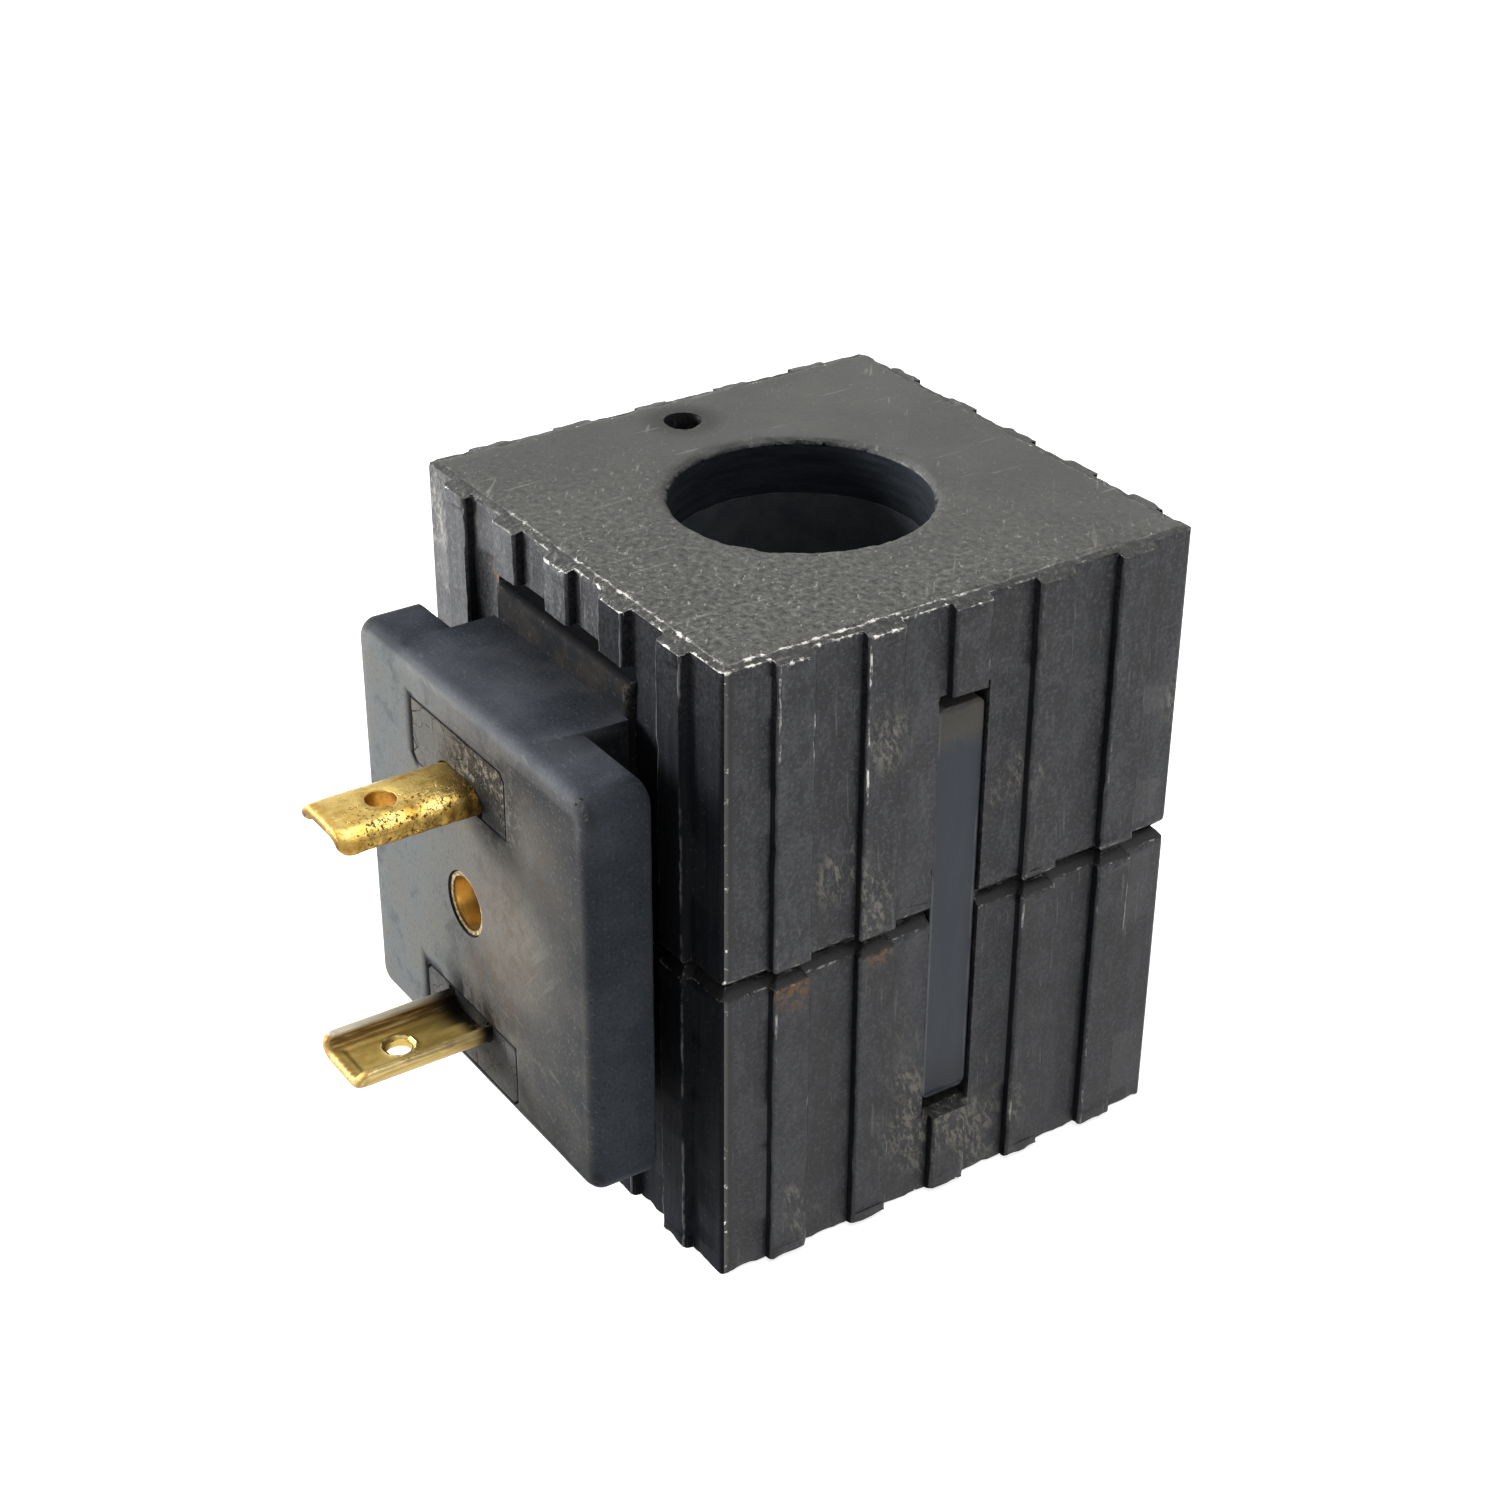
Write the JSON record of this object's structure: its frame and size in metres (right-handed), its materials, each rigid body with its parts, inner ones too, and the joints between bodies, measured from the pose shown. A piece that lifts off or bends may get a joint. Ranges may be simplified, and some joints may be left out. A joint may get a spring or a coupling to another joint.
{
  "type": "solenoid_coil",
  "caption": "Solenoid valve coil: ribbed square steel yoke in two halves over a moulded winding, smooth through bore, plug connector base with folded brass blade contacts",
  "frame": {"origin": "on the bore axis, in the plane of the valve side end face", "axes": "+Z along the bore, away from the valve; -Y towards the plug connector; +X to the right of someone facing the connector"},
  "size_m": [0.0374, 0.0545, 0.045],
  "materials": {
    "yoke_steel": "blackened steel, worn to bare metal on edges, pitted on the end faces",
    "encapsulation_plastic": "dark moulding, satin",
    "connector_plastic": "dark grey moulding, matte, stained",
    "carrier_plastic": "dark moulding, matte, grimy",
    "bobbin_plastic": "brown black moulding, satin",
    "winding_copper": "enamelled copper",
    "winding_tape": "film tape",
    "terminal_brass": "tarnished brass sheet",
    "insert_brass": "turned brass",
    "lead_copper": "bare copper wire",
    "sleeve_rubber": "silicone rubber sleeve",
    "solder": "solder"
  },
  "bodies": {
    "root": {"upper_yoke_shell": "yoke_steel", "lower_yoke_shell": "yoke_steel", "bobbin": "bobbin_plastic", "winding": "winding_copper", "winding_tape": "winding_tape", "coil_encapsulation": "encapsulation_plastic", "connector_base": "connector_plastic", "terminal_carrier_upper": "carrier_plastic", "terminal_carrier_lower": "carrier_plastic", "terminal_upper": "terminal_brass", "terminal_lower": "terminal_brass", "plug_screw_insert": "insert_brass", "lead_wire_start": "lead_copper", "lead_wire_finish": "lead_copper", "lead_sleeve_start": "sleeve_rubber", "lead_sleeve_finish": "sleeve_rubber", "solder_joint_upper": "solder", "solder_joint_lower": "solder"}
  },
  "joints": []
}
